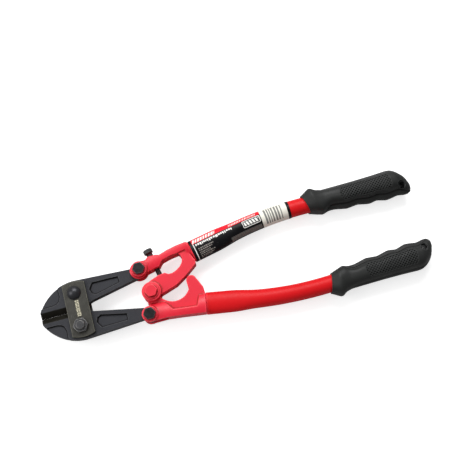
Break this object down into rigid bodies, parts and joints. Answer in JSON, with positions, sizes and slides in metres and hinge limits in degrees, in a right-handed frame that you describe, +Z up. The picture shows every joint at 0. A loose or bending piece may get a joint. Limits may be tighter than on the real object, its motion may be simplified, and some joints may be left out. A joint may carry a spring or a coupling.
{
  "type": "bolt cutters",
  "caption": "Compound-action bolt cutters with two blades between side plates, cast handle heads with an adjusting screw, bent tube handles and moulded grips.",
  "frame": {"origin": "on the surface that the tool lies on, under the middle of its overall box", "axes": "+X from the blades to the grips, +Y across the tool towards the upper handle, which carries the label and the adjusting screw, +Z up through the side plates, along every pivot"},
  "size_m": [0.3602, 0.1052, 0.0276],
  "materials": {
    "blade_steel": "dark gunmetal black-oxide forged steel, satin, with brighter ground cutting bevels and worn edges",
    "plate_steel": null,
    "pivot_steel": "black-oxide steel, semi-gloss",
    "black_fastener": "black-oxide steel, satin",
    "red_paint": "semi-gloss red enamel over cast steel and tube",
    "grip_rubber": "black moulded rubber, satin, with a diamond pattern on both faces",
    "label_film": null
  },
  "bodies": {
    "lower_handle": {"lower_handle_head": "red_paint", "lower_tube": "red_paint", "lower_grip": "grip_rubber", "lower_tail_bolt": "black_fastener", "lower_tail_nut": "black_fastener"},
    "upper_handle": {"upper_handle_head": "red_paint", "upper_tube": "red_paint", "upper_grip": "grip_rubber", "label_wrap": "label_film", "upper_tail_bolt": "black_fastener", "upper_tail_nut": "black_fastener", "handle_pivot_bolt": "red_paint", "handle_pivot_nut": "red_paint"},
    "lower_blade": {"lower_jaw": "blade_steel"},
    "side_plates": {"top_side_plate": "plate_steel", "bottom_side_plate": "plate_steel", "upper_jaw_bolt": "pivot_steel", "lower_jaw_bolt": "pivot_steel", "upper_jaw_nut": "pivot_steel", "lower_jaw_nut": "pivot_steel"},
    "upper_blade": {"upper_jaw": "blade_steel"},
    "adjuster": {"adjusting_screw": "black_fastener"}
  },
  "joints": [
    {"name": "handle_pivot", "type": "hinge", "parent": "lower_handle", "child": "upper_handle", "pos_m": [-0.0781, -0.0045, 0.0133], "axis": [0, 0, 1], "range_deg": [0, 70]},
    {"name": "lower_tail_pivot", "type": "hinge", "parent": "lower_handle", "child": "lower_blade", "pos_m": [-0.08425, -0.0239, 0.0133], "axis": [0, 0, 1], "range_deg": [0, 45]},
    {"name": "lower_blade_pivot", "type": "hinge", "parent": "lower_blade", "child": "side_plates", "pos_m": [-0.1456, -0.01795, 0.0133], "axis": [0, 0, 1], "range_deg": [-6.4, 0]},
    {"name": "upper_blade_pivot", "type": "hinge", "parent": "side_plates", "child": "upper_blade", "pos_m": [-0.1456, 0.01255, 0.0133], "axis": [0, 0, 1], "range_deg": [-6.4, 0]},
    {"name": "adjusting_turn", "type": "hinge", "parent": "upper_handle", "child": "adjuster", "pos_m": [-0.06735, 0.0094, 0.0133], "axis": [-0.225, 0.9744, 0], "range_deg": [-360, 360]}
  ],
  "couplings": [
    {"joint": "lower_tail_pivot", "follows": "handle_pivot", "ratio": 0.64},
    {"joint": "lower_blade_pivot", "follows": "handle_pivot", "ratio": -0.09},
    {"joint": "upper_blade_pivot", "follows": "handle_pivot", "ratio": -0.09}
  ]
}
